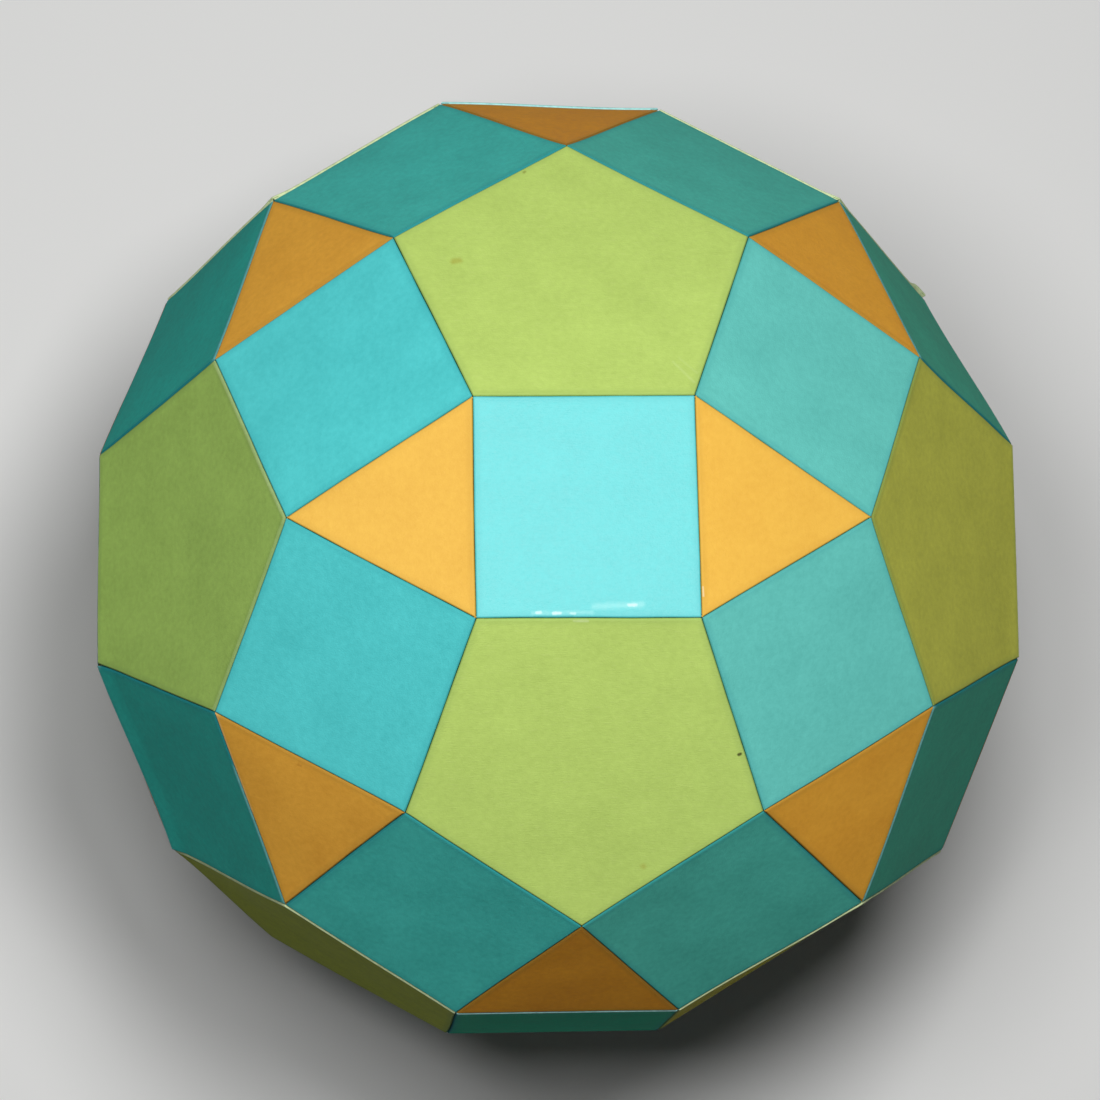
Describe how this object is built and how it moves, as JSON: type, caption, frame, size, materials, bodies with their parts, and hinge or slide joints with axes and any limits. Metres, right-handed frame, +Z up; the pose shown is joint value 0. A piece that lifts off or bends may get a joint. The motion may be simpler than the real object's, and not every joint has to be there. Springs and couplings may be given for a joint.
{
  "type": "rhombicosidodecahedron paper ball",
  "caption": "Hollow card ball in the form of a rhombicosidodecahedron: green pentagons, blue squares and orange triangles, each cut, folded and glued by its flaps.",
  "frame": {"origin": "the middle of the outer face of the square that the ball rests on", "axes": "+Z up through the middle of the ball and of the top square, +X towards a triangle beside the top square, +Y towards a pentagon beside it"},
  "size_m": [0.1694, 0.1694, 0.1694],
  "materials": {
    "green_card": "satin",
    "blue_card": "satin",
    "orange_card": "satin"
  },
  "bodies": {
    "root": {"blue_square_01": "blue_card", "blue_square_02": "blue_card", "blue_square_03": "blue_card", "blue_square_04": "blue_card", "blue_square_05": "blue_card", "blue_square_06": "blue_card", "blue_square_07": "blue_card", "blue_square_08": "blue_card", "blue_square_09": "blue_card", "blue_square_10": "blue_card", "blue_square_11": "blue_card", "blue_square_12": "blue_card", "blue_square_13": "blue_card", "blue_square_14": "blue_card", "blue_square_15": "blue_card", "blue_square_16": "blue_card", "blue_square_17": "blue_card", "blue_square_18": "blue_card", "blue_square_19": "blue_card", "blue_square_20": "blue_card", "blue_square_21": "blue_card", "blue_square_22": "blue_card", "blue_square_23": "blue_card", "blue_square_24": "blue_card", "blue_square_25": "blue_card", "blue_square_26": "blue_card", "blue_square_27": "blue_card", "blue_square_28": "blue_card", "blue_square_29": "blue_card", "blue_square_30": "blue_card", "green_pentagon_01": "green_card", "green_pentagon_02": "green_card", "green_pentagon_03": "green_card", "green_pentagon_04": "green_card", "green_pentagon_05": "green_card", "green_pentagon_06": "green_card", "green_pentagon_07": "green_card", "green_pentagon_08": "green_card", "green_pentagon_09": "green_card", "green_pentagon_10": "green_card", "green_pentagon_11": "green_card", "green_pentagon_12": "green_card", "orange_triangle_03": "orange_card", "orange_triangle_04": "orange_card", "orange_triangle_05": "orange_card", "orange_triangle_06": "orange_card", "orange_triangle_07": "orange_card", "orange_triangle_08": "orange_card", "orange_triangle_09": "orange_card", "orange_triangle_10": "orange_card", "orange_triangle_11": "orange_card", "orange_triangle_12": "orange_card", "orange_triangle_13": "orange_card", "orange_triangle_14": "orange_card", "orange_triangle_15": "orange_card", "orange_triangle_16": "orange_card", "orange_triangle_17": "orange_card", "orange_triangle_18": "orange_card", "orange_triangles_beside_bottom_square": "orange_card", "orange_triangles_beside_top_square": "orange_card"}
  },
  "joints": []
}
